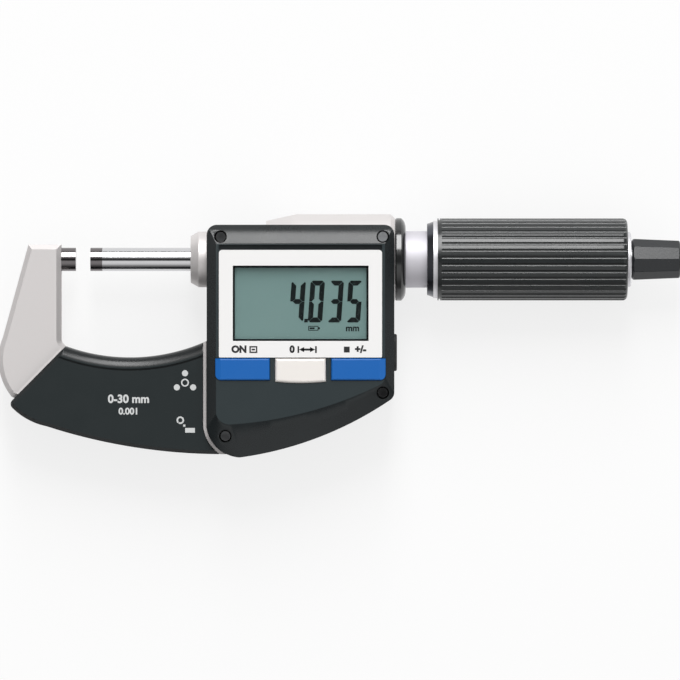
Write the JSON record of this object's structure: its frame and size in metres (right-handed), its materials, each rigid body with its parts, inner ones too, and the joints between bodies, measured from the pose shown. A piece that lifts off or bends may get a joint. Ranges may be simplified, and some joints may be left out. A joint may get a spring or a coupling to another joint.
{
  "type": "digital outside micrometer",
  "caption": "Digital outside micrometer with a C frame, display housing, sliding spindle, large fluted thimble and ratchet, lying on its back.",
  "frame": {"origin": "centre of the anvil's measuring face, on the spindle's axis", "axes": "+X along the spindle from the anvil to the ratchet, +Y from the bow towards the measuring line, +Z out of the display"},
  "size_m": [0.1896, 0.0674, 0.0272],
  "materials": {
    "frame_satin": "fine satin silver-grey lacquer on cast steel",
    "steel": "turned and ground",
    "ground_steel": "hardened, ground and lapped",
    "satin_chrome": "satin chrome plated",
    "carbide": "lapped hard metal",
    "plate_black": "satin moulded plastic",
    "housing_black": "satin moulded plastic",
    "panel_white": "smooth white",
    "window_clear": "clear",
    "display_glass": "grey-green reflective liquid crystal",
    "button_blue": "smooth blue",
    "button_white": "smooth white",
    "grip_black": "fluted satin black",
    "ring_black": "smooth glossy black",
    "knob_black": "satin black",
    "port_rubber": "matt",
    "seal_rubber": "matt",
    "screw_steel": "bright",
    "board_green": "solder mask",
    "switch_plastic": "moulded",
    "cell_metal": "plated can",
    "contact_brass": "gold plated",
    "bronze": "turned"
  },
  "bodies": {
    "base": {"frame": "frame_satin", "anvil": "steel", "anvil_tip": "carbide", "front_plate": "plate_black", "rear_plate": "plate_black", "sleeve": "satin_chrome", "drive_nut": "bronze", "key_pin": "steel", "housing_front": "housing_black", "housing_rear": "housing_black", "housing_gasket": "seal_rubber", "housing_screws": "screw_steel", "rear_screws": "screw_steel", "face_panel": "panel_white", "lcd_window": "window_clear", "lcd_panel": "display_glass", "contact_strips": "seal_rubber", "circuit_board": "board_green", "switches": "switch_plastic", "encoder_head": "switch_plastic", "port_socket": "switch_plastic", "battery_cell": "cell_metal", "battery_contacts": "contact_brass", "lock_collet": "steel", "lock_roller": "steel"},
    "spindle_unit": {"spindle": "ground_steel", "spindle_tip": "carbide", "encoder_scale": "contact_brass", "coupling_cap": "steel", "thrust_washers": "bronze"},
    "thimble_unit": {"thimble_body": "satin_chrome", "thimble_grip": "grip_black", "wiper_ring": "ring_black", "drive_screw": "steel", "ratchet_base": "steel", "ratchet_screw": "screw_steel"},
    "ratchet_unit": {"ratchet_knob": "knob_black", "ratchet_driver": "steel", "ratchet_spring": "steel"},
    "lock_unit": {"lock_ring": "ring_black"},
    "key_left": {"button_left": "button_blue"},
    "key_center": {"button_center": "button_white"},
    "key_right": {"button_right": "button_blue"},
    "seal_unit": {"battery_seal": "seal_rubber"},
    "cover_unit": {"battery_cover": "housing_black"},
    "port_unit": {"port_cover": "port_rubber"}
  },
  "joints": [
    {"name": "spindle_feed", "type": "slide", "parent": "base", "child": "spindle_unit", "axis": [1, 0, 0], "range_m": [-0.00404, 0.02596]},
    {"name": "thimble_turn", "type": "hinge", "parent": "spindle_unit", "child": "thimble_unit", "pos_m": [0.12, 0, 0], "axis": [1, 0, 0], "range_deg": [-145.3, 934.8]},
    {"name": "ratchet_turn", "type": "hinge", "parent": "thimble_unit", "child": "ratchet_unit", "pos_m": [0.16, 0, 0], "axis": [1, 0, 0], "continuous": true},
    {"name": "lock_turn", "type": "hinge", "parent": "base", "child": "lock_unit", "pos_m": [0.09, 0, 0], "axis": [1, 0, 0], "range_deg": [0, 40]},
    {"name": "key_left_press", "type": "slide", "parent": "base", "child": "key_left", "axis": [0, 0, -1], "range_m": [0, 0.0006], "stiffness_N_per_m": 500, "springref_m": -0.0005},
    {"name": "key_center_press", "type": "slide", "parent": "base", "child": "key_center", "axis": [0, 0, -1], "range_m": [0, 0.0006], "stiffness_N_per_m": 500, "springref_m": -0.0005},
    {"name": "key_right_press", "type": "slide", "parent": "base", "child": "key_right", "axis": [0, 0, -1], "range_m": [0, 0.0006], "stiffness_N_per_m": 500, "springref_m": -0.0005},
    {"name": "cover_lift", "type": "slide", "parent": "base", "child": "seal_unit", "axis": [0, 0, -1], "range_m": [0, 0.002]},
    {"name": "cover_turn", "type": "hinge", "parent": "seal_unit", "child": "cover_unit", "pos_m": [0.073, -0.03, -0.012], "axis": [0, 0, -1], "range_deg": [0, 720.5]},
    {"name": "port_cover_pull", "type": "slide", "parent": "base", "child": "port_unit", "axis": [1, 0, 0], "range_m": [0, 0.008]}
  ],
  "couplings": [
    {"joint": "thimble_turn", "follows": "spindle_feed", "rad_per_m": 628.32},
    {"joint": "cover_turn", "follows": "cover_lift", "rad_per_m": 6283.2}
  ]
}
